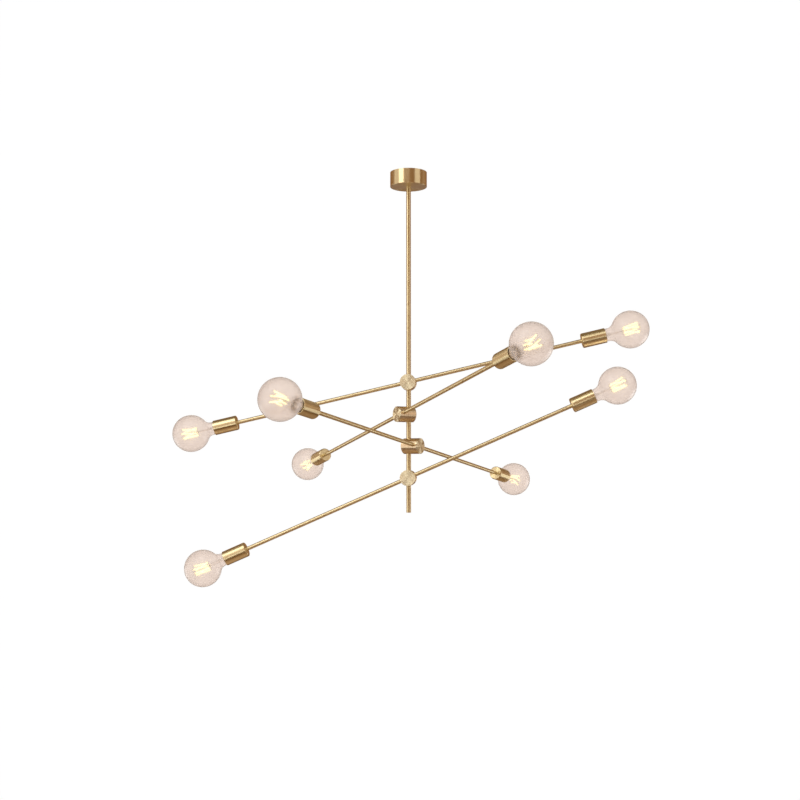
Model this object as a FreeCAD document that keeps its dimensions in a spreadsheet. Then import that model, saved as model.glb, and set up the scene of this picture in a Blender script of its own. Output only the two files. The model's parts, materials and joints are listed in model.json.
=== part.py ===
"""Multi arm chandelier: a canopy and a thin stem that carry four swivelling arms with eight globe lamps.

Everything hangs below the ceiling plane z = 0, and the stem runs down the Z axis. Each hub is two
coaxial brass cylinders on a level axis: the back half turns about the stem, and the front half tilts
on a hollow pivot and carries one straight arm tube with a lampholder cup and a lamp at both ends.
A hub and its arm are drawn with the arm level along X and the hub axis along -Y, then turned to the
arm's azimuth and tilt.
"""
import os
from math import sqrt

import FreeCAD
import Part
import Sketcher

# Driving dimensions, in millimetres and degrees.
SIZES = {
    # Canopy and its bracket
    "canopy_dia": 95.0,
    "canopy_height": 38.0,
    "canopy_wall": 1.5,
    "canopy_edge": 1.2,
    "bracket_length": 89.0,
    "bracket_width": 20.0,
    "bracket_sheet": 2.0,
    "bracket_tab": 16.0,
    "fixing_spacing": 66.0,
    "fixing_slot_width": 4.5,
    "fixing_slot_length": 9.0,
    "side_screw_dia": 4.0,
    "side_screw_length": 7.0,
    "side_screw_drop": 10.0,
    "terminal_length": 34.0,
    "terminal_size": 17.0,
    "terminal_pitch": 10.0,
    "terminal_bore": 4.4,
    "terminal_screw_dia": 2.5,
    "terminal_screw_head": 5.6,
    "terminal_screw_offset": 5.0,
    "earth_screw_dia": 4.0,
    "earth_screw_head": 7.0,
    "earth_screw_offset": 23.5,
    "screw_head_height": 2.0,
    "screw_head_taper": 0.8,
    "screw_recess": 0.2,
    # Stem
    "nipple_dia": 10.0,
    "nipple_bore": 7.0,
    "nipple_top": 29.5,
    "nipple_in_stem": 20.0,
    "nut_corners": 19.6,
    "nut_height": 5.0,
    "stem_dia": 12.0,
    "stem_bore": 9.0,
    "stem_end": 878.0,
    "stem_edge": 0.5,
    "plug_length": 8.0,
    "mains_lead_dia": 6.0,
    "mains_lead_start": 23.0,
    "mains_lead_end": 802.0,
    "window_height": 8.0,
    "window_depth": 4.0,
    # Hubs
    "first_hub_drop": 547.0,
    "hub_spacing": 81.0,
    "hub_dia": 40.0,
    "hub_back": 12.0,
    "hub_front": 36.0,
    "hub_edge": 0.8,
    "hub_seam": 0.4,
    "running_gap": 0.05,
    "arm_offset": 24.0,
    "block_wall": 4.0,
    "cover_thickness": 3.0,
    "cover_spigot_dia": 30.0,
    "pivot_dia": 14.0,
    "pivot_bore": 9.0,
    "pivot_inner_end": 7.0,
    "pivot_head_dia": 20.0,
    "pivot_head_height": 2.0,
    "grub_dia": 4.0,
    "grub_length": 5.0,
    "grub_socket": 2.3,
    "grub_socket_depth": 2.0,
    # Arms
    "arm_tube_dia": 10.0,
    "arm_tube_bore": 8.0,
    "arm_tube_reach": 464.0,
    "arm_slot_length": 14.0,
    "arm_slot_width": 6.0,
    "arm_lead_dia": 5.0,
    "cup_back": 450.0,
    "cup_mouth": 511.0,
    "cup_dia": 37.5,
    "cup_wall": 1.5,
    "cup_floor": 6.0,
    "cup_edge": 3.0,
    # Lampholders
    "holder_dia": 33.0,
    "holder_shelf": 481.0,
    "holder_rim": 506.0,
    "holder_bore": 28.0,
    "shell_wall": 0.6,
    "shell_set_back": 2.0,
    "contact_dia": 9.0,
    # Lamps
    "lamp_reach": 574.0,
    "lamp_dia": 95.0,
    "neck_dia": 33.0,
    "neck_blend": 20.0,
    "neck_end": 60.0,
    "glass_wall": 1.0,
    "cap_start": 64.0,
    "cap_dia": 26.6,
    "cap_wall": 0.5,
    "cap_shoulder": 84.0,
    "cap_end": 90.5,
    "cap_contact_dia": 10.0,
    "cap_contact_rise": 1.5,
    "insulator_step": 1.0,
    "mount_foot_dia": 22.0,
    "mount_rod_dia": 5.0,
    "mount_foot_length": 16.0,
    "mount_tip": 14.0,
    # Rest pose of the four arms, from the top one down
    "azimuth_one": -4.0,
    "azimuth_two": -60.0,
    "azimuth_three": 59.0,
    "azimuth_four": -4.5,
    "tilt_one": 13.0,
    "tilt_two": 12.5,
    "tilt_three": -8.8,
    "tilt_four": 23.7,
}
ARMS = ("one", "two", "three", "four")
SIDES = {"right": 1, "left": -1}

# Ways that a turned piece's own X axis can point.
DOWN = FreeCAD.Rotation(FreeCAD.Vector(0, 1, 0), 90)
FRONT = FreeCAD.Rotation(FreeCAD.Vector(0, 0, 1), -90)
RIGHT = FreeCAD.Rotation()
LEFT = FreeCAD.Rotation(FreeCAD.Vector(0, 0, 1), 180)
REACH = {"right": RIGHT, "left": LEFT}

ORIGIN = FreeCAD.Vector(0, 0, 0)
STILL = FreeCAD.Placement()

doc = FreeCAD.newDocument("multi_arm_chandelier")
sheet = doc.addObject("Spreadsheet::Sheet", "Sizes")
for row, (alias, size) in enumerate(SIZES.items(), start=1):
    sheet.set(f"A{row}", alias)
    sheet.set(f"B{row}", str(size))
    sheet.setAlias(f"B{row}", alias)
doc.recompute()

subparts = []


def cells(expression):
    """The expression with each of its size names pointing at the sheet."""
    words = []
    word = ""
    for letter in expression + " ":
        if letter.isalnum() or letter in "_.":
            word += letter
            continue
        words.append(f"Sizes.{word}" if word in SIZES else word)
        words.append(letter)
        word = ""
    return "".join(words).strip()


def value(expression):
    """The number that an expression in the sheet's names has now."""
    return float(sheet.evalExpression(cells(expression)))


def bind(item, **expressions):
    """Bind an object's properties to expressions in the sheet's names."""
    for name, expression in expressions.items():
        item.setExpression(name.replace("__", "."), cells(expression))
    return item


def finish(item, label, placement=STILL):
    """Name a finished sub-part, put it in its place and list it for export."""
    item.Label = label
    item.Placement = placement
    subparts.append(item)


# ---------------------------------------------------------------- sketches and turned pieces


def plane_of(body, role):
    """A body's own origin plane."""
    return next(item for item in body.Origin.OriginFeatures if item.Role == role)


def arc_through(start, end, radius, turn):
    """The shorter arc from start to end, turning left (1) or right (-1)."""
    chord = end - start
    half = chord.Length / 2
    across = FreeCAD.Vector(-chord.y, chord.x, 0).normalize()
    centre = start + chord / 2 + across * turn * sqrt(radius**2 - half**2)
    middle = (start + end) / 2 - centre
    if middle.Length < 1e-6:
        middle = across * -turn
    top = centre + middle.normalize() * radius
    return Part.Arc(start, top, end)


def draw_outline(body, name, role, outline):
    """A closed sketch on one of the body's planes.

    Each corner is (x, y) or (x, y, radius, turn), as expressions: the last two make the side that
    starts there an arc.
    """
    sketch = body.newObject("Sketcher::SketchObject", name)
    sketch.AttachmentSupport = [(plane_of(body, role), "")]
    sketch.MapMode = "FlatFace"
    corners = [FreeCAD.Vector(value(corner[0]), value(corner[1]), 0) for corner in outline]
    ends = []
    for index, corner in enumerate(outline):
        start = corners[index]
        end = corners[(index + 1) % len(corners)]
        if len(corner) == 4:
            line = sketch.addGeometry(arc_through(start, end, value(corner[2]), corner[3]), False)
        else:
            line = sketch.addGeometry(Part.LineSegment(start, end), False)
        first = 1 if (sketch.getPoint(line, 1) - start).Length < 1e-6 else 2
        ends.append((line, first, 3 - first))
    for index, corner in enumerate(outline):
        line, first, _ = ends[index]
        before, _, last = ends[index - 1]
        sketch.addConstraint(Sketcher.Constraint("Coincident", before, last, line, first))
        pin_corner(sketch, line, first, "DistanceX", corner[0], -2)
        pin_corner(sketch, line, first, "DistanceY", corner[1], -1)
        if len(corner) == 4:
            number = sketch.addConstraint(Sketcher.Constraint("Radius", line, value(corner[2])))
            sketch.setExpression(f"Constraints[{number}]", cells(corner[2]))
    return sketch


def pin_corner(sketch, line, point, kind, expression, axis):
    """Hold one coordinate of a corner at its expression."""
    number = value(expression)
    if abs(number) < 1e-9:
        sketch.addConstraint(Sketcher.Constraint("PointOnObject", line, point, axis))
    elif number > 0:
        index = sketch.addConstraint(Sketcher.Constraint(kind, -1, 1, line, point, number))
        sketch.setExpression(f"Constraints[{index}]", cells(expression))
    else:
        index = sketch.addConstraint(Sketcher.Constraint(kind, line, point, -1, 1, -number))
        sketch.setExpression(f"Constraints[{index}]", cells(f"-({expression})"))


def turned(name, outline, rotation=RIGHT):
    """A body turned about its own X axis from (distance, radius) corners."""
    body = doc.addObject("PartDesign::Body", name)
    sketch = draw_outline(body, f"{name}_profile", "XY_Plane", outline)
    revolution = body.newObject("PartDesign::Revolution", f"{name}_turned")
    revolution.Profile = sketch
    revolution.ReferenceAxis = (sketch, ["H_Axis"])
    revolution.Angle = 360
    sketch.Visibility = False
    body.Placement = FreeCAD.Placement(ORIGIN, rotation)
    return body


def ring(start, end, outer, inner):
    """Corners of a plain tube between two distances."""
    return [(start, inner), (start, outer), (end, outer), (end, inner)]


def disc(start, end, radius):
    """Corners of a plain cylinder between two distances."""
    return ring(start, end, radius, "0")


# ---------------------------------------------------------------- primitives and booleans


def cylinder(name, radius, length, rotation=RIGHT, **base):
    """A cylinder along its rotated X axis that starts at base."""
    item = doc.addObject("Part::Cylinder", name)
    lay_down = FreeCAD.Rotation(FreeCAD.Vector(0, 1, 0), 90)
    item.Placement = FreeCAD.Placement(ORIGIN, rotation.multiply(lay_down))
    bind(item, Radius=radius, Height=length)
    return bind(item, **{f"Placement__Base__{axis}": text for axis, text in base.items()})


def box(name, sizes, corner=()):
    """A box from its sizes and its lowest corner, all as expressions."""
    item = doc.addObject("Part::Box", name)
    bind(item, Length=sizes[0], Width=sizes[1], Height=sizes[2])
    return bind(item, **{f"Placement__Base__{axis}": text for axis, text in zip("xyz", corner)})


def cut(name, base, *tools):
    """Base with every tool taken away."""
    result = base
    for index, tool in enumerate(tools, start=1):
        step = doc.addObject("Part::Cut", f"{name}_cut_{index}")
        step.Base = result
        step.Tool = tool
        result = step
    return result


def group(name, *items):
    """Separate solids that share one node."""
    compound = doc.addObject("Part::Compound", name)
    compound.Links = list(items)
    return compound


# ---------------------------------------------------------------- canopy, bracket and wiring


def make_bracket():
    """The steel bracket on the ceiling, with slots for two screws and a tapped tab at each end."""
    half = "bracket_length / 2"
    inner = "bracket_length / 2 - bracket_sheet"
    body = doc.addObject("PartDesign::Body", "bracket")
    profile = draw_outline(body, "bracket_profile", "XZ_Plane", [
        (f"-({half})", "0"),
        (f"-({half})", "-bracket_tab"),
        (f"-({inner})", "-bracket_tab"),
        (f"-({inner})", "-bracket_sheet"),
        (inner, "-bracket_sheet"),
        (inner, "-bracket_tab"),
        (half, "-bracket_tab"),
        (half, "0"),
    ])
    pad = body.newObject("PartDesign::Pad", "bracket_strip")
    pad.Profile = profile
    pad.Midplane = True
    bind(pad, Length="bracket_width")
    holes = []
    straight = "(fixing_slot_length - fixing_slot_width)"
    for side, sign in SIDES.items():
        middle = f"{sign} * fixing_spacing / 2"
        for end in (-1, 1):
            holes.append(cylinder(f"bracket_slot_end_{side}_{end + 2}", "fixing_slot_width / 2",
                                  "2 * bracket_sheet", DOWN,
                                  x=f"{middle} + {end} * {straight} / 2", z="bracket_sheet / 2"))
        holes.append(box(f"bracket_slot_{side}", (straight, "fixing_slot_width", "2 * bracket_sheet"),
                         (f"{middle} - {straight} / 2", "-fixing_slot_width / 2", "-1.5 * bracket_sheet")))
        holes.append(cylinder(f"bracket_side_hole_{side}", "side_screw_dia / 2", "side_screw_length",
                              REACH[side], x=f"{sign} * (bracket_length / 2 - side_screw_length / 2)",
                              z="-side_screw_drop"))
    holes.append(cylinder("bracket_terminal_hole", "terminal_screw_dia / 2", "2 * bracket_sheet", DOWN,
                          x="terminal_screw_offset", z="bracket_sheet / 2"))
    holes.append(cylinder("bracket_earth_hole", "earth_screw_dia / 2", "2 * bracket_sheet", DOWN,
                          x="-earth_screw_offset", z="bracket_sheet / 2"))
    finish(cut("bracket", body, *holes), "ceiling_bracket")


def make_canopy():
    """The spun brass canopy: a round cup, open to the ceiling, with a hole for the stem's nipple."""
    outer = "canopy_dia / 2"
    inner = "canopy_dia / 2 - canopy_wall"
    hole = "nipple_dia / 2"
    floor = "canopy_height - canopy_wall"
    body = turned("canopy_shell", [
        ("0", inner),
        ("0", outer),
        ("canopy_height - canopy_edge", outer, "canopy_edge", -1),
        ("canopy_height", f"{outer} - canopy_edge"),
        ("canopy_height", hole),
        (floor, hole),
        (floor, inner),
    ], DOWN)
    holes = [
        cylinder(f"canopy_side_hole_{side}", "side_screw_dia / 2", "4 * canopy_wall", REACH[side],
                 x=f"{sign} * (canopy_dia / 2 - 3 * canopy_wall)", z="-side_screw_drop")
        for side, sign in SIDES.items()
    ]
    finish(cut("canopy", body, *holes), "canopy")


def make_side_screws():
    """Two socket screws that hold the canopy on the bracket's tabs."""
    tip = "canopy_dia / 2 - side_screw_length - screw_recess"
    screws = []
    for side in SIDES:
        screws.append(turned(f"side_screw_{side}", [
            (tip, "0"),
            (tip, "side_screw_dia / 2"),
            (f"{tip} + side_screw_length", "side_screw_dia / 2"),
            (f"{tip} + side_screw_length", "grub_socket / 2"),
            (f"{tip} + side_screw_length - grub_socket_depth", "grub_socket / 2"),
            (f"{tip} + side_screw_length - grub_socket_depth", "0"),
        ], REACH[side]))
    finish(group("side_screws", *screws), "canopy_side_screws",
           FreeCAD.Placement(FreeCAD.Vector(0, 0, -value("side_screw_drop")), RIGHT))


def pan_screw(name, seat, shank, head):
    """A pan head screw from its recessed tip to its seat."""
    return turned(name, [
        ("screw_recess", "0"),
        ("screw_recess", shank),
        (seat, shank),
        (seat, head),
        (f"{seat} + screw_head_height", f"{head} * screw_head_taper"),
        (f"{seat} + screw_head_height", "0"),
    ])


def make_terminals():
    """The terminal block under the bracket, its screw, and the earth screw."""
    body = box("terminal_body", ("terminal_length", "terminal_size", "terminal_size"),
               ("-terminal_length / 2", "-terminal_size / 2", "-bracket_sheet - terminal_size"))
    middle = "-bracket_sheet - terminal_size / 2"
    holes = []
    for number in (-1, 0, 1):
        holes.append(cylinder(f"terminal_way_{number + 2}", "terminal_bore / 2", "2 * terminal_size",
                              FRONT, x=f"{number} * terminal_pitch", y="terminal_size", z=middle))
    holes.append(cylinder("terminal_fixing", "terminal_screw_dia / 2", "2 * terminal_size", DOWN,
                          x="terminal_screw_offset", z="0"))
    finish(cut("terminal", body, *holes), "terminal_block")
    seat = "bracket_sheet + terminal_size"
    screw = pan_screw("terminal_screw", seat, "terminal_screw_dia / 2", "terminal_screw_head / 2")
    finish(screw, "terminal_screw", FreeCAD.Placement(
        FreeCAD.Vector(value("terminal_screw_offset"), 0, 0), DOWN))
    earth = pan_screw("earth_screw", "bracket_sheet", "earth_screw_dia / 2", "earth_screw_head / 2")
    finish(earth, "earth_screw", FreeCAD.Placement(
        FreeCAD.Vector(-value("earth_screw_offset"), 0, 0), DOWN))


# ---------------------------------------------------------------- stem


def hub_place(arm):
    """Where a hub's own frame sits: on the stem, turned to the arm's azimuth."""
    height = -value(f"first_hub_drop + {ARMS.index(arm)} * hub_spacing")
    turn = FreeCAD.Rotation(FreeCAD.Vector(0, 0, 1), value(f"azimuth_{arm}"))
    return FreeCAD.Placement(FreeCAD.Vector(0, 0, height), turn)


def arm_place(arm):
    """Where an arm's own frame sits: its hub's frame, tilted about the hub's level axis."""
    tilt = FreeCAD.Rotation(FreeCAD.Vector(0, -1, 0), value(f"tilt_{arm}"))
    return hub_place(arm).multiply(FreeCAD.Placement(ORIGIN, tilt))


def make_stem():
    """The stem tube with a wire window at each hub, its nipple, nut, plug and mains lead."""
    socket_end = "canopy_height + nipple_in_stem"
    outer = "stem_dia / 2"
    bore = "stem_bore / 2"
    tube = turned("stem", [
        ("canopy_height", "nipple_dia / 2"),
        ("canopy_height", outer),
        ("stem_end - stem_edge", outer),
        ("stem_end", f"{outer} - stem_edge"),
        ("stem_end", bore),
        (socket_end, bore),
        (socket_end, "nipple_dia / 2"),
    ], DOWN)
    windows = []
    for arm in ARMS:
        window = box(f"stem_window_{arm}", ("2 * stem_dia", "stem_dia", "window_height"))
        back = value("window_depth - 1.5 * stem_dia")
        corner = FreeCAD.Vector(-value("stem_dia"), back, -value("window_height / 2"))
        window.Placement = hub_place(arm).multiply(FreeCAD.Placement(corner, RIGHT))
        windows.append(window)
    finish(cut("stem", tube, *windows), "stem_tube")
    hanging = FreeCAD.Placement(ORIGIN, DOWN)
    finish(turned("plug", disc("stem_end - plug_length", "stem_end", bore)), "stem_end_plug", hanging)
    nipple = turned("nipple", ring("nipple_top", socket_end, "nipple_dia / 2", "nipple_bore / 2"))
    finish(nipple, "stem_nipple", hanging)
    lead = turned("mains_lead", disc("mains_lead_start", "mains_lead_end", "mains_lead_dia / 2"))
    finish(lead, "stem_mains_lead", hanging)
    prism = doc.addObject("Part::Prism", "nut_prism")
    prism.Polygon = 6
    bind(prism, Circumradius="nut_corners / 2", Height="nut_height",
         Placement__Base__z="canopy_wall - canopy_height")
    hole = cylinder("nut_hole", "nipple_dia / 2", "3 * nut_height", DOWN, z="nut_height - nipple_top")
    finish(cut("nut", prism, hole), "nipple_nut")


# ---------------------------------------------------------------- hubs


def make_hub(arm, number):
    """The half of a hub that turns about the stem, with its grub screw and its hollow pivot."""
    place = hub_place(arm)
    outer = "hub_dia / 2"
    body = turned(f"hub_{arm}", [
        ("-hub_back", "0"),
        ("-hub_back", f"{outer} - hub_edge"),
        ("hub_edge - hub_back", outer),
        ("hub_back", outer),
        ("hub_back", "pivot_dia / 2"),
        ("0", "pivot_dia / 2"),
        ("0", "0"),
    ], FRONT)
    stem_hole = cylinder(f"hub_{arm}_stem_hole", "stem_dia / 2 + running_gap", "2 * hub_dia", DOWN,
                         z="hub_dia")
    grub_hole = cylinder(f"hub_{arm}_grub_hole", "grub_dia / 2", "2 * hub_back", FRONT, y="2 * hub_back")
    finish(cut(f"hub_{arm}", body, stem_hole, grub_hole), f"hub_{number}_body", place)

    tip = "stem_dia / 2 + 2 * running_gap"
    grub = turned(f"grub_{arm}", [
        (f"-({tip} + grub_length)", "grub_socket / 2"),
        (f"-({tip} + grub_length)", "grub_dia / 2"),
        (f"-({tip})", "grub_dia / 2"),
        (f"-({tip})", "0"),
        (f"grub_socket_depth - ({tip}) - grub_length", "0"),
        (f"grub_socket_depth - ({tip}) - grub_length", "grub_socket / 2"),
    ])
    finish(grub, f"hub_{number}_grub_screw", place.multiply(FreeCAD.Placement(ORIGIN, FRONT)))

    seat = "hub_back + hub_seam + block_wall + running_gap"
    pivot = turned(f"pivot_{arm}", [
        ("pivot_inner_end", "pivot_bore / 2"),
        ("pivot_inner_end", "pivot_dia / 2"),
        (seat, "pivot_dia / 2"),
        (seat, "pivot_head_dia / 2"),
        (f"{seat} + pivot_head_height", "pivot_head_dia / 2"),
        (f"{seat} + pivot_head_height", "pivot_bore / 2"),
    ])
    finish(pivot, f"hub_{number}_pivot", place.multiply(FreeCAD.Placement(ORIGIN, FRONT)))


# ---------------------------------------------------------------- arms


def make_arm_block(arm, number):
    """The tilting half of a hub and the screwed cover that clamps the arm tube in it."""
    outer = "hub_dia / 2"
    start = "hub_back + hub_seam"
    floor = "hub_back + hub_seam + block_wall"
    cover = "hub_front - cover_thickness"
    body = turned(f"block_{arm}", [
        (start, "pivot_dia / 2 + running_gap"),
        (start, outer),
        (cover, outer),
        (cover, "cover_spigot_dia / 2"),
        (floor, "cover_spigot_dia / 2"),
        (floor, "pivot_dia / 2 + running_gap"),
    ], FRONT)
    tube_hole = cylinder(f"block_{arm}_tube_hole", "arm_tube_dia / 2", "2 * hub_dia", RIGHT,
                         x="-hub_dia", y="-arm_offset")
    finish(cut(f"block_{arm}", body, tube_hole), f"hub_{number}_arm_block", arm_place(arm))
    disc_cover = turned(f"cover_{arm}", [
        ("arm_offset + arm_tube_dia / 2", "0"),
        ("arm_offset + arm_tube_dia / 2", "cover_spigot_dia / 2"),
        (cover, "cover_spigot_dia / 2"),
        (cover, outer),
        ("hub_front - hub_edge", outer),
        ("hub_front", f"{outer} - hub_edge"),
        ("hub_front", "0"),
    ])
    finish(disc_cover, f"hub_{number}_cover", arm_place(arm).multiply(FreeCAD.Placement(ORIGIN, FRONT)))


def make_arm_tube(arm, number):
    """The arm's one straight tube, with a wire slot at its middle, and the lead inside it."""
    tube = turned(f"tube_{arm}", ring("-arm_tube_reach", "arm_tube_reach", "arm_tube_dia / 2",
                                      "arm_tube_bore / 2"))
    slot = box(f"tube_{arm}_slot", ("arm_slot_length", "arm_tube_dia", "arm_slot_width"),
               ("-arm_slot_length / 2", "arm_tube_dia / 4", "-arm_slot_width / 2"))
    in_line = arm_place(arm).multiply(FreeCAD.Placement(FreeCAD.Vector(0, -value("arm_offset"), 0), RIGHT))
    finish(cut(f"tube_{arm}", tube, slot), f"arm_{number}_tube", in_line)
    lead = turned(f"lead_{arm}", disc("-arm_tube_reach", "arm_tube_reach", "arm_lead_dia / 2"))
    finish(lead, f"arm_{number}_lead", in_line)


def end_place(arm, side):
    """An arm end's own frame: X runs outward along the tube from the middle of the arm."""
    offset = FreeCAD.Vector(0, -value("arm_offset"), 0)
    return arm_place(arm).multiply(FreeCAD.Placement(offset, REACH[side]))


def make_cup(arm, number, side):
    """The brass cup that hides a lampholder."""
    outer = "cup_dia / 2"
    inner = "cup_dia / 2 - cup_wall"
    cup = turned(f"cup_{arm}_{side}", [
        ("cup_back", "arm_tube_dia / 2"),
        ("cup_back", f"{outer} - cup_edge", "cup_edge", -1),
        ("cup_back + cup_edge", outer),
        ("cup_mouth", outer),
        ("cup_mouth", inner),
        ("cup_back + cup_floor", inner),
        ("cup_back + cup_floor", "arm_tube_dia / 2"),
    ])
    finish(cup, f"arm_{number}_socket_cup_{side}", end_place(arm, side))


def holder_solids(name, rotation):
    """A ceramic lampholder body, its threaded shell and its centre contact."""
    floor = "cup_back + cup_floor"
    outer = "holder_dia / 2"
    bore = "holder_bore / 2"
    ceramic = turned(f"{name}_ceramic", [
        (floor, "arm_tube_dia / 2"),
        (floor, outer),
        ("holder_rim", outer),
        ("holder_rim", bore),
        ("holder_shelf", bore),
        ("holder_shelf", "0"),
        ("arm_tube_reach", "0"),
        ("arm_tube_reach", "arm_tube_dia / 2"),
    ], rotation)
    shell = turned(f"{name}_shell", ring("holder_shelf", "holder_rim - shell_set_back", bore,
                                         f"{bore} - shell_wall"), rotation)
    contact = turned(f"{name}_contact", disc("holder_shelf", "lamp_reach - cap_end", "contact_dia / 2"),
                     rotation)
    return ceramic, shell, contact


def make_holders(arm, number):
    """Both lampholders of an arm, which screw on the tube's ends inside the cups."""
    solids = []
    for side in SIDES:
        solids.extend(holder_solids(f"holder_{arm}_{side}", REACH[side]))
    in_line = arm_place(arm).multiply(FreeCAD.Placement(FreeCAD.Vector(0, -value("arm_offset"), 0), RIGHT))
    finish(group(f"holders_{arm}", *solids), f"arm_{number}_lampholders", in_line)


def make_lamp(arm, number, side):
    """A globe lamp: glass, brass cap, cap insulator, centre contact and the inner glass mount.

    It is drawn with its globe centred on the origin and its cap towards -X.
    """
    name = f"lamp_{arm}_{side}"
    globe = "lamp_dia / 2"
    neck = "neck_dia / 2"
    blend_r = "(neck_dia / 2 + neck_blend)"
    blend_x = f"sqrt((lamp_dia / 2 + neck_blend)^2 - {blend_r}^2)"
    share = "/ (lamp_dia / 2 + neck_blend)"
    inner = "(lamp_dia / 2 - glass_wall)"
    rim = "cap_dia / 2"
    glass = turned(f"{name}_glass", [
        (globe, "0", globe, 1),
        (f"-{blend_x} * {globe} {share}", f"{blend_r} * {globe} {share}", "neck_blend", -1),
        (f"-{blend_x}", neck),
        ("-neck_end", neck),
        ("-cap_start", rim),
        ("-cap_start", f"{rim} - glass_wall"),
        ("-neck_end", f"{neck} - glass_wall"),
        (f"-{blend_x}", f"{neck} - glass_wall", "neck_blend + glass_wall", 1),
        (f"-{blend_x} * {inner} {share}", f"{blend_r} * {inner} {share}", inner, -1),
        (inner, "0"),
    ])
    cap = turned(f"{name}_cap", [
        ("-cap_start", rim),
        ("-cap_shoulder", rim),
        ("-cap_shoulder", "cap_contact_dia / 2"),
        ("-cap_shoulder + cap_wall", "cap_contact_dia / 2"),
        ("-cap_shoulder + cap_wall", f"{rim} - cap_wall"),
        ("-cap_start", f"{rim} - cap_wall"),
    ])
    insulator = turned(f"{name}_insulator", [
        ("cap_contact_rise - cap_end", "cap_contact_dia / 2"),
        ("-cap_shoulder", f"{rim} - insulator_step"),
        ("-cap_shoulder", "cap_contact_dia / 2"),
    ])
    contact = turned(f"{name}_contact", disc("-cap_end", "-cap_shoulder", "cap_contact_dia / 2"))
    mount = turned(f"{name}_mount", [
        ("-cap_start", "0"),
        ("-cap_start", "mount_foot_dia / 2"),
        ("mount_foot_length - cap_start", "mount_rod_dia / 2"),
        ("-mount_tip", "mount_rod_dia / 2"),
        ("-mount_tip", "0"),
    ])
    globe_place = end_place(arm, side).multiply(
        FreeCAD.Placement(FreeCAD.Vector(value("lamp_reach"), 0, 0), RIGHT))
    finish(group(name, glass, cap, insulator, contact, mount), f"arm_{number}_lamp_{side}", globe_place)


make_bracket()
make_canopy()
make_side_screws()
make_terminals()
make_stem()
for number, arm in enumerate(ARMS, start=1):
    make_hub(arm, number)
    make_arm_block(arm, number)
    make_arm_tube(arm, number)
    make_holders(arm, number)
    for side in SIDES:
        make_cup(arm, number, side)
        make_lamp(arm, number, side)

doc.recompute()
failed = [item.Name for item in doc.Objects if {"Invalid", "Error"} & set(item.State)]
failed += [item.Label for item in subparts if item.Shape.isNull() or not item.Shape.isValid()]
if failed:
    raise SystemExit(f"failed objects: {', '.join(failed)}")

os.makedirs("parts", exist_ok=True)
for item in subparts:
    item.Shape.exportStep(f"parts/{item.Label}.step")
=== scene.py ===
"""Multi arm chandelier: the looks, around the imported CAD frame. Everything is in metres."""
import json
import random
from math import acos, cos, pi, radians, sin, sqrt, tau

import bmesh
import bpy
from mathutils import Matrix, Vector


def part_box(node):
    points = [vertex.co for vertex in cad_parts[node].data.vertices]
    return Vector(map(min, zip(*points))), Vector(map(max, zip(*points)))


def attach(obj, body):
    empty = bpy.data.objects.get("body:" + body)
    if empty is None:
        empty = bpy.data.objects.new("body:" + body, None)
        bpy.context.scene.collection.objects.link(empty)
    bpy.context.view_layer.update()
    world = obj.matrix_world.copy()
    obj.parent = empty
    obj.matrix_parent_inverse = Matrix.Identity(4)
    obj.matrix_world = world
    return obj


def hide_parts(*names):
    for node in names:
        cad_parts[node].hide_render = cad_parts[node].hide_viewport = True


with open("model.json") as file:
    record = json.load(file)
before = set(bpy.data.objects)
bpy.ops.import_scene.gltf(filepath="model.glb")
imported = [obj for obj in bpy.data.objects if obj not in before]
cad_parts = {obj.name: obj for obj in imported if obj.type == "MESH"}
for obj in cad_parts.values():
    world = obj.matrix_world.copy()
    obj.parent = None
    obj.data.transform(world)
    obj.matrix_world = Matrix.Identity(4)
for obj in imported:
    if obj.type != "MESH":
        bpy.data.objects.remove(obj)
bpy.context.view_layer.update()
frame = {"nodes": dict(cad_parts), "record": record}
MM = 0.001
ARMS = (1, 2, 3, 4)
SIDES = ("left", "right")
random.seed(11)


# ---------------------------------------------------------------- shader helpers

def set_stops(ramp, stops):
    """Gives a colour ramp its (place, colour) stops."""
    while len(ramp.elements) < len(stops):
        ramp.elements.new(0.5)
    for element, (place, colour) in zip(ramp.elements, stops):
        element.position = place
        element.color = (*colour, 1.0)


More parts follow.
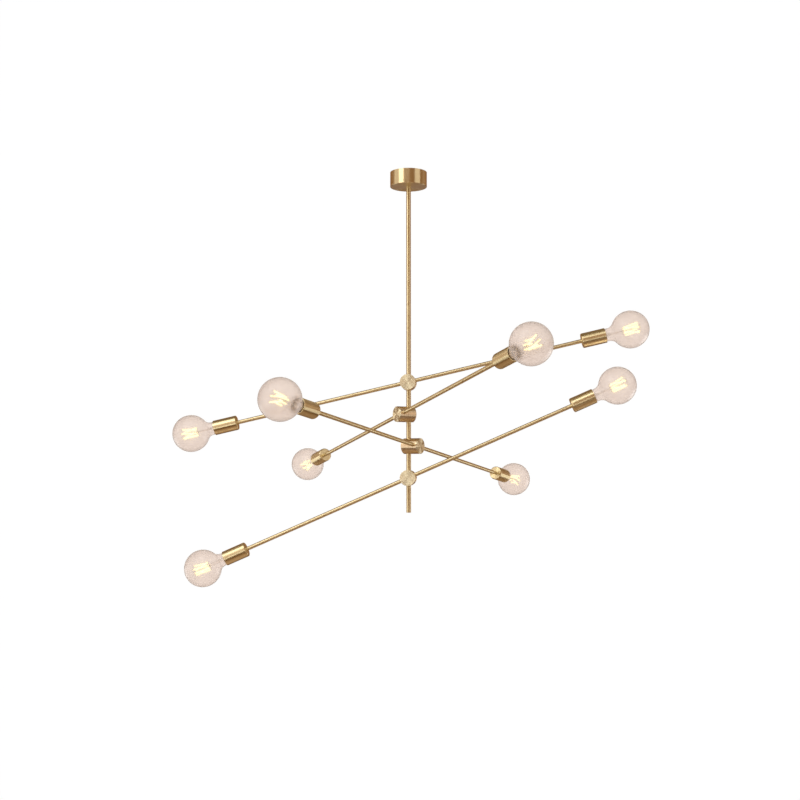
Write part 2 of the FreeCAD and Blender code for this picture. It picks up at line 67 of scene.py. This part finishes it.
class Nodes:
    """Builds one material's node tree with few words."""

    def __init__(self, name):
        self.material = bpy.data.materials.new(name)
        self.material.use_nodes = True
        self.tree = self.material.node_tree
        self.shader = self.tree.nodes["Principled BSDF"]

    def node(self, kind, inputs=None, **settings):
        made = self.tree.nodes.new(kind)
        for key, content in settings.items():
            setattr(made, key, content)
        for key, content in (inputs or {}).items():
            self.put(made.inputs[key], content)
        return made

    def put(self, socket, content):
        if isinstance(content, bpy.types.NodeSocket):
            self.tree.links.new(content, socket)
        else:
            socket.default_value = content

    def math(self, operation, *terms):
        return self.node("ShaderNodeMath", dict(enumerate(terms)), operation=operation).outputs[0]

    def vector(self, operation, *terms):
        made = self.node("ShaderNodeVectorMath", dict(enumerate(terms)), operation=operation)
        return made.outputs["Value" if operation in ("DOT_PRODUCT", "LENGTH") else "Vector"]

    def noise(self, vector, scale, detail=2.0, roughness=0.5):
        wanted = {"Vector": vector, "Scale": scale, "Detail": detail, "Roughness": roughness}
        return self.node("ShaderNodeTexNoise", wanted).outputs["Fac"]

    def ramp(self, factor, *stops):
        made = self.node("ShaderNodeValToRGB", {"Fac": factor})
        set_stops(made.color_ramp, stops)
        return made.outputs["Color"]

    def span(self, factor, low, high):
        """Maps 0..1 to low..high."""
        wanted = {"Value": factor, "To Min": low, "To Max": high}
        return self.node("ShaderNodeMapRange", wanted).outputs["Result"]

    def combine(self, x, y, z):
        return self.node("ShaderNodeCombineXYZ", {0: x, 1: y, 2: z}).outputs[0]

    def bump(self, height, strength, distance):
        wanted = {"Height": height, "Strength": strength, "Distance": distance}
        return self.node("ShaderNodeBump", wanted).outputs[0]

    def place(self):
        return self.node("ShaderNodeTexCoord").outputs["Object"]

    def set(self, **sockets):
        for key, content in sockets.items():
            self.put(self.shader.inputs[key.replace("_", " ")], content)
        return self.material


# Tones from dark to light, which a brass surface drifts between.
BRASS = ((0.79, 0.665, 0.38), (0.83, 0.715, 0.43), (0.87, 0.765, 0.48))
# The hub bodies' copy of the brass, its tone shifted to how they look in their light: painted light.
HUB_BRASS_PAINTED_LIGHT = ((0.79, 0.62, 0.39), (0.83, 0.67, 0.44), (0.87, 0.72, 0.49))
# The covers' copy of the brass, much lighter and paler: the light on their faces painted into the colour.
COVER_BRASS_PAINTED_LIGHT = ((0.92, 0.81, 0.54), (0.95, 0.86, 0.60), (0.98, 0.91, 0.67))
TONE_STOPS = (0.30, 0.50, 0.70)
SATIN = 0.31
FACED_SATIN = 0.5
SATIN_SPREAD = 0.015
BRUSH_MARKS = 2600.0
BRUSH_STREAKS = 260.0
BRUSH_DEPTH = 0.00001


def turned_brass(name, point, axis, rough=SATIN, tones=BRASS):
    """Satin brass with fine brush marks round an axis, as on a turned part.

    The reflection spreads along the axis, and the tone drifts a little over the surface.
    """
    n = Nodes(name)
    axis = Vector(axis).normalized()
    side = axis.orthogonal().normalized()
    other = axis.cross(side)
    local = n.vector("SUBTRACT", n.place(), tuple(point))
    round_way = n.vector("CROSS_PRODUCT", tuple(axis), local)
    world_way = n.node("ShaderNodeVectorTransform", {0: n.vector("NORMALIZE", round_way)},
                       vector_type="VECTOR", convert_from="OBJECT", convert_to="WORLD").outputs[0]
    height = n.vector("DOT_PRODUCT", local, tuple(axis))
    reach = n.vector("LENGTH", round_way)
    angle = n.math("ARCTAN2", n.vector("DOT_PRODUCT", local, tuple(side)),
                   n.vector("DOT_PRODUCT", local, tuple(other)))

    def brushed(per_metre, per_radian, detail, roughness):
        """Noise drawn out round the axis, fine along it and across it."""
        at = n.combine(n.math("MULTIPLY", height, per_metre), n.math("MULTIPLY", reach, per_metre),
                       n.math("MULTIPLY", angle, per_radian))
        return n.noise(at, 1.0, detail, roughness)

    marks = brushed(BRUSH_MARKS, 1.4, 3.0, 0.65)
    streaks = brushed(BRUSH_STREAKS, 1.1, 2.0, 0.5)
    cloud = n.noise(local, 16.0, 3.0, 0.5)
    tone = n.math("ADD", n.math("MULTIPLY", cloud, 0.65), n.math("MULTIPLY", streaks, 0.35))
    colour = n.ramp(tone, *zip(TONE_STOPS, tones))
    gloss = n.math("ADD", n.span(marks, rough - SATIN_SPREAD, rough + SATIN_SPREAD),
                   n.span(cloud, -SATIN_SPREAD, SATIN_SPREAD))
    return n.set(Base_Color=colour, Metallic=1.0, Roughness=gloss, Anisotropic=0.97,
                 Anisotropic_Rotation=0.25, Tangent=world_way, Normal=n.bump(marks, 0.03, BRUSH_DEPTH))


def plain_metal(name, dark, light, low, high, scale=900.0):
    """Plated or raw metal with cloudy tone and small marks."""
    n = Nodes(name)
    at = n.place()
    cloud = n.noise(at, 120.0, 3.0, 0.6)
    grain = n.noise(at, scale, 3.0, 0.6)
    return n.set(Base_Color=n.ramp(cloud, (0.35, dark), (0.65, light)), Metallic=1.0,
                 Roughness=n.span(grain, low, high), Normal=n.bump(grain, 0.15, 0.00006))


def solid_stuff(name, dark, light, low, high, scale, **more):
    """A non-metal with mottled colour, uneven gloss and a fine bump."""
    n = Nodes(name)
    at = n.place()
    cloud = n.noise(at, scale, 4.0, 0.6)
    grain = n.noise(at, scale * 9, 2.0, 0.5)
    return n.set(Base_Color=n.ramp(cloud, (0.35, dark), (0.65, light)), Roughness=n.span(grain, low, high),
                 Normal=n.bump(grain, 0.12, 0.00008), **more)


HAZE_ROUGHNESS = (0.28, 0.34)


def blown_glass(name, dark, light, ior, haze=0.0):
    """Glass with a faint tint that drifts and a slightly wavy surface. haze is its softly rough share."""
    n = Nodes(name)
    at = n.place()
    drift = n.noise(at, 22.0, 2.0, 0.5)
    wave = n.noise(at, 40.0, 1.0, 0.4)
    tint = n.ramp(drift, (0.35, dark), (0.65, light))
    normal = n.bump(wave, 0.05, 0.001)
    n.set(Base_Color=tint, Roughness=0.0, Transmission_Weight=1.0, IOR=ior, Normal=normal)
    if haze:
        smear = n.noise(at, 60.0, 2.0, 0.5)
        hazy = n.node("ShaderNodeBsdfPrincipled", {
            "Base Color": tint, "Roughness": n.span(smear, *HAZE_ROUGHNESS), "Transmission Weight": 1.0,
            "IOR": ior, "Normal": normal})
        mixed = n.node("ShaderNodeMixShader", {0: haze, 1: n.shader.outputs[0], 2: hazy.outputs[0]})
        n.put(n.tree.nodes["Material Output"].inputs["Surface"], mixed.outputs[0])
    return n.material


def lit_phosphor(name):
    """The yellow silicone of a filament, lit, with its row of chips showing faintly."""
    n = Nodes(name)
    at = n.place()
    chips = n.node("ShaderNodeTexWave", {"Vector": at, "Scale": 280.0, "Distortion": 0.3},
                   bands_direction="Z").outputs["Fac"]
    grain = n.noise(at, 1500.0, 2.0, 0.5)
    glow = n.ramp(chips, (0.0, (1.0, 0.90, 0.36)), (1.0, (1.0, 0.96, 0.50)))
    silicone = n.ramp(grain, (0.3, (0.85, 0.62, 0.16)), (0.7, (0.95, 0.76, 0.30)))
    return n.set(Base_Color=silicone, Roughness=0.5, Emission_Color=glow, Emission_Strength=2.3)


# ---------------------------------------------------------------- mesh helpers

def arc(centre_r, centre_z, radius, start, stop, steps):
    """Points (r, z) on an arc. Angles are in radians from +r toward +z."""
    turn = (stop - start) / steps
    return [(centre_r + radius * cos(start + turn * i), centre_z + radius * sin(start + turn * i))
            for i in range(steps + 1)]


def make_mesh(name, build, sharp=radians(35)):
    """A smooth-shaded mesh from what build(bm) adds, with sharp edges kept."""
    bm = bmesh.new()
    build(bm)
    bmesh.ops.remove_doubles(bm, verts=bm.verts, dist=1e-7)
    bmesh.ops.recalc_face_normals(bm, faces=bm.faces)
    mesh = bpy.data.meshes.new(name)
    bm.to_mesh(mesh)
    bm.free()
    mesh.polygons.foreach_set("use_smooth", [True] * len(mesh.polygons))
    mesh.set_sharp_from_angle(angle=sharp)
    return mesh


def revolve(bm, profile, segments, place=Matrix(), closed=True, shape=None):
    """Turns a profile of (r, z) points round local Z. shape(r, z, angle) may change the radius."""
    rings = []
    for r, z in profile:
        if r < 1e-9:
            rings.append([bm.verts.new(place @ Vector((0, 0, z)))] * segments)
            continue
        ring = []
        for k in range(segments):
            angle = tau * k / segments
            now = shape(r, z, angle) if shape else r
            ring.append(bm.verts.new(place @ Vector((now * cos(angle), now * sin(angle), z))))
        rings.append(ring)
    if closed:
        rings.append(rings[0])
    for low, high in zip(rings, rings[1:]):
        for k in range(segments):
            corners = [low[k], low[(k + 1) % segments], high[(k + 1) % segments], high[k]]
            face = list(dict.fromkeys(corners))
            if len(face) > 2:
                bm.faces.new(face)


def sweep(bm, path, radius, sides=8):
    """A round wire along a path, with closed ends."""
    points = [Vector(p) for p in path]
    rings = []
    for i, point in enumerate(points):
        along = (points[min(i + 1, len(points) - 1)] - points[max(i - 1, 0)]).normalized()
        first = along.orthogonal().normalized() if i == 0 else (first - along * first.dot(along)).normalized()
        second = along.cross(first)
        spokes = [first * cos(tau * k / sides) + second * sin(tau * k / sides) for k in range(sides)]
        rings.append([bm.verts.new(point + spoke * radius) for spoke in spokes])
    for low, high in zip(rings, rings[1:]):
        for k in range(sides):
            bm.faces.new([low[k], low[(k + 1) % sides], high[(k + 1) % sides], high[k]])
    bm.faces.new(rings[0][::-1])
    bm.faces.new(rings[-1])


def stick_place(foot, tip):
    """A frame with its origin at foot and its Z toward tip."""
    turn = (Vector(tip) - Vector(foot)).to_track_quat("Z", "Y")
    return Matrix.Translation(foot) @ turn.to_matrix().to_4x4()


def add_piece(name, mesh, material, place=None, parent=None):
    """A visual piece. A child is given its parent's frame, so it lies where its parent lies."""
    piece = bpy.data.objects.new(name, mesh)
    bpy.context.scene.collection.objects.link(piece)
    if not mesh.materials:
        mesh.materials.append(material)
    if parent:
        piece.parent = parent
    else:
        piece.matrix_world = place
    return piece


# ---------------------------------------------------------------- the lamp, drawn once
# Its globe is centred on the origin and its cap points to -Z.

GLOBE = 47.5 * MM
NECK = 16.5 * MM
BLEND = 20 * MM
WALL = 1 * MM
NECK_END = -60 * MM
CAP_TOP = -64 * MM
CAP_RADIUS = 13.2 * MM
THREAD_PITCH = 3.6 * MM
THREAD_DEPTH = 0.9 * MM
THREAD_START = CAP_TOP - 2.5 * MM
CAP_SHOULDER = -84 * MM
THREAD_END = CAP_SHOULDER + MM
CAP_END = -90.5 * MM
CONTACT = 5 * MM
MOUNT_WALL = 0.7 * MM
FLARE = 11 * MM
FLARE_HEIGHT = 19 * MM
FLARE_STEPS = 14
ROD = 2.5 * MM
ROD_TIP = -14 * MM
BEAD = 3.2 * MM
STICK = 1.0 * MM
STICKS = 6
LOW_STAR = (8 * MM, -17 * MM)
HIGH_STAR = (14.5 * MM, 20 * MM)
STAR_TWIST = radians(38)


def glass_profile(inset):
    """One wall of the globe, from its top to the neck's end."""
    blend_r = NECK + BLEND
    blend_z = -sqrt((GLOBE + BLEND) ** 2 - blend_r ** 2)
    meet = acos(blend_r / (GLOBE + BLEND))
    dome = arc(0, 0, GLOBE - inset, pi / 2, -meet, 56)
    neck = arc(blend_r, blend_z, BLEND + inset, pi - meet, pi, 12)
    rim = [(NECK - inset, NECK_END), (CAP_RADIUS - inset, CAP_TOP)]
    return [(0, GLOBE - inset)] + dome[1:] + neck[1:] + rim


def build_glass(bm):
    """The globe and its neck, an outer and an inner wall joined at the cap."""
    revolve(bm, glass_profile(0) + glass_profile(WALL)[::-1], 96, closed=False)


def build_cap(bm):
    """The rolled thread of the cap, a real helix, and its closed shoulder."""
    def thread(r, z, angle):
        """Only the outer wall is threaded, and the thread fades out over a pitch at each end."""
        if r != CAP_RADIUS:
            return r
        above = max(0.0, (THREAD_START - z) / THREAD_PITCH)
        below = max(0.0, (z - THREAD_END) / THREAD_PITCH)
        return r - THREAD_DEPTH * min(1.0, above, below) * (0.5 - 0.5 * cos(tau * z / THREAD_PITCH - angle))

    steps = 44
    outside = [(CAP_RADIUS, CAP_TOP + (CAP_SHOULDER - CAP_TOP) * i / steps) for i in range(steps + 1)]
    shoulder = [(CAP_RADIUS - 1.2 * MM, CAP_SHOULDER - 1.1 * MM), (CONTACT, CAP_SHOULDER - 1.3 * MM)]
    inside = [(CONTACT, CAP_SHOULDER - 0.8 * MM), (CAP_RADIUS - 1.9 * MM, CAP_SHOULDER - 0.5 * MM),
              (CAP_RADIUS - 1.6 * MM, CAP_TOP)]
    revolve(bm, outside + shoulder + inside, 72, shape=thread)


def build_insulator(bm):
    """The black ring between the cap's shoulder and the contact."""
    revolve(bm, [(CAP_RADIUS - 1.4 * MM, CAP_SHOULDER - 1.1 * MM), (9.6 * MM, CAP_SHOULDER - 3.2 * MM),
                 (6.2 * MM, CAP_END + 1.6 * MM), (CONTACT, CAP_END + 1.2 * MM),
                 (CONTACT - 0.6 * MM, CAP_SHOULDER - 1.1 * MM)], 48)


def build_cement(bm):
    """The pale cement that holds the glass in the cap and closes it under the mount."""
    low, high = CAP_TOP - 2.5 * MM, CAP_TOP - 0.8 * MM
    rim = NECK - WALL - 4.2 * MM
    revolve(bm, [(0, low), (rim, low), (rim, high), (rim - 1.2 * MM, high + 0.9 * MM), (rim - 3 * MM, high),
                 (0, high - 0.4 * MM)], 48, closed=False)


def build_contact(bm):
    """The button at the cap's end."""
    revolve(bm, [(0, CAP_END)] + arc(3.4 * MM, CAP_END + 1.2 * MM, 1.2 * MM, -pi / 2, 0.3, 5)
            + [(3.2 * MM, CAP_END + 3 * MM), (0, CAP_END + 3 * MM)], 36, closed=False)


def build_mount(bm):
    """The flared glass foot, the hollow rod on it and the bead at its tip, all of one thin wall."""
    flare = [(FLARE - (FLARE - ROD) * sin(i / FLARE_STEPS * pi / 2) ** 0.7,
              CAP_TOP + FLARE_HEIGHT * i / FLARE_STEPS) for i in range(FLARE_STEPS + 1)]
    rod_end = ROD_TIP - 7 * MM
    bead = arc(0, ROD_TIP - BEAD, BEAD, -0.7, pi / 2, 12)[:-1]
    outside = flare + [(ROD, rod_end)] + bead
    inside = [(r - MOUNT_WALL, z) for r, z in flare] + [(ROD - MOUNT_WALL, rod_end)]
    revolve(bm, [(0, ROD_TIP - 6 * MM)] + inside[::-1] + outside + [(0, ROD_TIP)], 48, closed=False)


def star_points(star, twist):
    """Evenly spaced points on a star's (radius, height) circle."""
    radius, z = star
    return [Vector((radius * cos(tau * k / STICKS + twist), radius * sin(tau * k / STICKS + twist), z))
            for k in range(STICKS)]


def sticks():
    """Foot and tip of each filament. They lean in turn to and from the axis, as a zig-zag."""
    for k, (foot, tip) in enumerate(zip(star_points(LOW_STAR, 0), star_points(HIGH_STAR, STAR_TWIST))):
        if k % 2:
            foot = Vector((foot.x * 1.45, foot.y * 1.45, foot.z + 1.5 * MM))
            tip = Vector((tip.x * 0.62, tip.y * 0.62, tip.z + 2.5 * MM))
        yield foot, tip


def build_filaments(bm):
    for foot, tip in sticks():
        length = (tip - foot).length
        profile = ([(0, 0)] + arc(0, STICK, STICK, -pi / 2, 0, 5)[1:]
                   + arc(0, length - STICK, STICK, 0, pi / 2, 5)[:-1] + [(0, length)])
        revolve(bm, profile, 14, place=stick_place(foot, tip), closed=False)


def build_wires(bm):
    """The end tabs of the filaments, the wires that hold them, and the two leads down to the cap."""
    high_hub = Vector((0, 0, HIGH_STAR[1] + 4 * MM))
    low_hub = Vector((0, 0, ROD_TIP - 3 * MM))
    for foot, tip in sticks():
        along = (tip - foot).normalized()
        for end, away, hub in ((foot, -along, low_hub), (tip, along, high_hub)):
            tab = end + away * 3.2 * MM
            sweep(bm, [end + away * 0.2 * MM, tab], 0.55 * MM, 6)
            middle = tab.lerp(hub, 0.5) + away * 1.5 * MM
            sweep(bm, [tab, middle, hub], 0.3 * MM, 6)
    sweep(bm, [low_hub, low_hub.lerp(high_hub, 0.5), high_hub], 0.45 * MM, 8)
    for side in (-1, 1):
        start = Vector((side * 3.4 * MM, 0, CAP_TOP + 1 * MM))
        sweep(bm, [start, (side * 3.6 * MM, 0, CAP_TOP + 20 * MM), (side * 3.4 * MM, 0, ROD_TIP - 12 * MM),
                   low_hub + Vector((side * 2.6 * MM, 0, 0))], 0.4 * MM, 8)


# ---------------------------------------------------------------- where the arms are

def joint_record(name):
    return next(j for j in frame["record"]["behaviour"]["joints"] if j["name"] == name)


def globe_centres(number):
    """The centres of an arm's two globes: the outermost points of a lamp's box lie on its globe."""
    boxes = {side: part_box(f"arm_{number}_lamp_{side}") for side in SIDES}
    middles = {side: (Vector(low) + Vector(high)) / 2 for side, (low, high) in boxes.items()}
    centres = {}
    for side, other in (("left", "right"), ("right", "left")):
        low, high = boxes[side]
        centres[side] = Vector([high[k] - GLOBE if middles[side][k] > middles[other][k] else low[k] + GLOBE
                                for k in range(3)])
    return centres


# ---------------------------------------------------------------- materials

lamp_glass = blown_glass("lamp_glass", (0.865, 0.785, 0.735), (0.895, 0.82, 0.77), 1.3, haze=0.55)
mount_glass = blown_glass("mount_glass", (0.95, 0.94, 0.92), (0.98, 0.97, 0.96), 1.45)
cap_brass = plain_metal("lamp_cap_metal", (0.62, 0.52, 0.36), (0.72, 0.62, 0.46), 0.24, 0.40)
wire_metal = plain_metal("support_wire", (0.50, 0.48, 0.45), (0.64, 0.62, 0.59), 0.22, 0.36, 2400.0)
solder = plain_metal("contact_solder", (0.52, 0.52, 0.51), (0.66, 0.65, 0.63), 0.35, 0.55)
cap_glass = solid_stuff("cap_insulator_glass", (0.010, 0.010, 0.012), (0.024, 0.022, 0.026), 0.08, 0.22,
                        160.0)
phosphor = lit_phosphor("lit_phosphor")
cement = solid_stuff("cap_cement", (0.66, 0.55, 0.45), (0.80, 0.70, 0.60), 0.5, 0.8, 300.0)
ceramic = solid_stuff("glazed_ceramic", (0.66, 0.60, 0.51), (0.78, 0.73, 0.65), 0.12, 0.30, 90.0,
                      Coat_Weight=0.5)
zinc = plain_metal("zinc_steel", (0.50, 0.51, 0.53), (0.68, 0.69, 0.70), 0.28, 0.48)
screw_brass = plain_metal("screw_brass", (0.66, 0.46, 0.22), (0.78, 0.58, 0.30), 0.22, 0.38)
sheath = solid_stuff("lead_sheath", (0.055, 0.050, 0.046), (0.10, 0.094, 0.088), 0.38, 0.6, 140.0)


def dress(node, material):
    """Gives every slot of a CAD node a finished material."""
    for slot in bpy.data.objects[node].material_slots:
        slot.material = material


stem_low, stem_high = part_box("stem_tube")
stem_point = Vector([(stem_low[0] + stem_high[0]) / 2, (stem_low[1] + stem_high[1]) / 2, 0])
stem_brass = turned_brass("satin_brass_stem", stem_point, (0, 0, 1))
BY_SLOT = {"screw_brass": screw_brass, "zinc_steel": zinc, "ceramic": ceramic, "lead_sheath": sheath}
arm_brass, hub_brass, cover_brass = {}, {}, {}
centres = {number: globe_centres(number) for number in ARMS}
for number in ARMS:
    middle = (centres[number]["left"] + centres[number]["right"]) / 2
    arm_way = centres[number]["right"] - centres[number]["left"]
    hub_way = Vector(joint_record(f"arm_{number}_tilt")["axis"])
    arm_brass[number] = turned_brass(f"satin_brass_arm_{number}", middle, arm_way)
    # The hubs take the brass with their look in the light painted into its tone.
    hub_brass[number] = turned_brass(f"satin_brass_hub_{number}", middle, hub_way, tones=HUB_BRASS_PAINTED_LIGHT)
    # The covers take the lighter brass, with the light on their faces painted into its colour.
    cover_brass[number] = turned_brass(f"satin_brass_cover_{number}", middle, hub_way, FACED_SATIN,
                                       COVER_BRASS_PAINTED_LIGHT)

lamps = {f"arm_{number}_lamp_{side}" for number in ARMS for side in SIDES}
for name in frame["nodes"]:
    if name in lamps:
        continue
    slot = bpy.data.objects[name].material_slots[0].name.split(".")[0]
    if slot in BY_SLOT:
        dress(name, BY_SLOT[slot])
    elif name.startswith("arm_"):
        dress(name, arm_brass[int(name[4])])
    elif name.endswith("_cover"):
        dress(name, cover_brass[int(name[4])])
    elif name.startswith("hub_"):
        dress(name, hub_brass[int(name[4])])
    else:
        dress(name, stem_brass)

# ---------------------------------------------------------------- the eight lamps

PARTS = (
    ("cap", build_cap, cap_brass, "screw_brass"),
    ("insulator", build_insulator, cap_glass, "ceramic"),
    ("cement", build_cement, cement, "ceramic"),
    ("contact", build_contact, solder, "zinc_steel"),
    ("mount", build_mount, mount_glass, "clear_glass"),
    ("filaments", build_filaments, phosphor, "clear_glass"),
    ("wires", build_wires, wire_metal, "zinc_steel"),
)
glass_mesh = make_mesh("lamp_glass", build_glass)
part_meshes = {part: make_mesh(f"lamp_{part}", build) for part, build, _, _ in PARTS}
for number in ARMS:
    for side in SIDES:
        centre = centres[number][side]
        outward = centre - centres[number]["left" if side == "right" else "right"]
        turn = Matrix.Rotation(random.uniform(0, tau), 4, "Z")
        way = outward.to_track_quat("Z", "Y").to_matrix().to_4x4() @ turn
        name = f"lamp_{number}_{side}"
        turned_glass = glass_mesh.copy()
        turned_glass.name = f"{name}_glass"
        turned_glass.transform(way)
        lamp = add_piece(f"{name}_glass", turned_glass, lamp_glass, Matrix.Translation(centre))
        lamp.visible_shadow = False
        for part, _, material, slot in PARTS:
            child = add_piece(f"{name}_{part}", part_meshes[part], material, parent=lamp)
            child.matrix_basis = way
            child.visible_shadow = part != "mount"
        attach(lamp, f"arm_{number}")
        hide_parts(f"arm_{number}_lamp_{side}")

# ---------------------------------------------------------------- stage, light and camera

MIDDLE = Vector((0, 0, -0.66))
FLOOR = -3.6
FLOOR_RADIUS = 6.9
SURROUND_RADIUS = 7.2


def add_stage(name, build, base, glow, strength):
    """A plain surface of the studio, which glows a little by itself."""
    surface = bpy.data.objects.new(name, make_mesh(name, build))
    bpy.context.scene.collection.objects.link(surface)
    surface.data.materials.append(Nodes(name).set(
        Base_Color=(*base, 1.0), Roughness=0.9, Emission_Color=(*glow, 1.0), Emission_Strength=strength))
    surface.visible_diffuse = False
    return surface


def build_floor(bm):
    place = Matrix.Translation((0, 0, FLOOR))
    bmesh.ops.create_circle(bm, cap_ends=True, segments=96, radius=FLOOR_RADIUS, matrix=place)


def build_shell(bm):
    place = Matrix.Translation(MIDDLE)
    bmesh.ops.create_uvsphere(bm, u_segments=64, v_segments=32, radius=SURROUND_RADIUS, matrix=place)


def build_flag(bm):
    """A dark card that keeps the front light off the canopy, as in the photograph."""
    left, right, low, high, front = -0.26, 0.35, 0.02, 0.45, -0.45
    corners = (left, low), (right, low), (right, high), (left, high)
    bm.faces.new([bm.verts.new((x, front, z)) for x, z in corners])


WHITE = (1.0, 1.0, 1.0)
BLACK = (0.0, 0.0, 0.0)
# The metal reflects the world set up below, and not these two.
for surface in (add_stage("pale_floor", build_floor, (0.86, 0.86, 0.86), WHITE, 0.92),
                add_stage("pale_surround", build_shell, BLACK, WHITE, 1.0)):
    surface.visible_glossy = False
    surface.visible_shadow = False
flag = add_stage("dark_flag", build_flag, BLACK, (0.36, 0.20, 0.11), 1.0)
flag.visible_camera = False
flag.visible_transmission = False

# The surroundings that the metal reflects, from straight down (0) to straight up (1).
SKY = ((0.0, (0.55, 0.38, 0.27)), (0.06, (0.50, 0.33, 0.22)), (0.15, (0.16, 0.08, 0.03)),
       (0.38, (0.16, 0.08, 0.03)), (0.50, (0.32, 0.165, 0.08)), (0.66, (0.35, 0.18, 0.085)),
       (0.80, (0.22, 0.14, 0.08)), (1.0, (0.25, 0.19, 0.13)))


def light_world():
    """A world whose colour depends only on how high the direction points."""
    world = bpy.data.worlds.new("studio")
    bpy.context.scene.world = world
    world.use_nodes = True
    tree = world.node_tree
    split = tree.nodes.new("ShaderNodeSeparateXYZ")
    tree.links.new(tree.nodes.new("ShaderNodeTexCoord").outputs["Generated"], split.inputs[0])
    lift = tree.nodes.new("ShaderNodeMapRange")
    lift.inputs["From Min"].default_value = -1.0
    tree.links.new(split.outputs["Z"], lift.inputs["Value"])
    shade = tree.nodes.new("ShaderNodeValToRGB")
    set_stops(shade.color_ramp, SKY)
    tree.links.new(lift.outputs[0], shade.inputs[0])
    tree.links.new(shade.outputs[0], tree.nodes["Background"].inputs["Color"])


def softbox(name, azimuth, elevation, distance, width, height, radiance, colour=(1, 1, 1)):
    """A rectangular light facing the object. Azimuth 0 is the camera's side, positive toward +X."""
    a, e = radians(azimuth), radians(elevation)
    way = Vector((sin(a) * cos(e), -cos(a) * cos(e), sin(e)))
    data = bpy.data.lights.new(name, "AREA")
    data.shape = "RECTANGLE"
    data.size, data.size_y = width, height
    data.energy = radiance * pi * width * height
    data.color = colour
    light = bpy.data.objects.new(name, data)
    light.location = MIDDLE + way * distance
    light.rotation_euler = way.to_track_quat("Z", "Y").to_euler()
    light.visible_camera = False
    light.visible_transmission = False
    bpy.context.scene.collection.objects.link(light)
    return light


def light_rule(light, nodes, state):
    """Makes a light fall only on some CAD nodes (INCLUDE), or on everything but them (EXCLUDE)."""
    group = bpy.data.collections.new(f"{light.name}_rule")
    for name in nodes:
        group.objects.link(bpy.data.objects[name])
    for entry in group.collection_objects:
        entry.light_linking.link_state = state
    light.light_linking.receiver_collection = group


# Name, azimuth and elevation in degrees, distance, width, height, and radiance.
SOFTBOXES = (
    ("left_key", -48, 8, 3.2, 1.85, 4.0, 1.2),
    ("left_wide", -82, 8, 3.2, 1.85, 4.0, 0.6),
    ("left_low", -117, -20, 3.2, 1.6, 1.5, 1.6),
    ("right_fill", 58, 8, 3.2, 2.1, 4.0, 0.7),
    ("right_low", 117, -18, 3.2, 1.6, 1.5, 1.6),
    ("front_top", -32, 48, 3.0, 2.7, 2.0, 1.9),
)
light_world()
for settings in SOFTBOXES:
    softbox(*settings)
front_low = softbox("front_low", -10, -14, 3.4, 2.0, 1.0, 1.5)
light_rule(front_low, ["stem_tube"], "EXCLUDE")
softbox("back_low", 180, -14, 3.4, 3.0, 1.3, 0.18, (0.9, 0.85, 1.0))
cover_front = softbox("cover_front", -8, 0, 3.4, 1.1, 1.1, 1.9)
light_rule(cover_front, [name for name in frame["nodes"] if name.endswith("_cover")], "INCLUDE")

scene = bpy.context.scene
scene.view_settings.view_transform = "Standard"
camera_data = bpy.data.cameras.new("camera")
camera_data.sensor_width = 36.0
camera_data.lens = 49.7
camera = bpy.data.objects.new("camera", camera_data)
scene.collection.objects.link(camera)
PITCH, YAW = radians(3.63), radians(-0.449)
camera.location = (0, -2.823, -0.77)
forward = Vector((sin(YAW) * cos(PITCH), cos(YAW) * cos(PITCH), sin(PITCH)))
camera.rotation_euler = forward.to_track_quat("-Z", "Y").to_euler()
scene.camera = camera

bpy.context.view_layer.update()
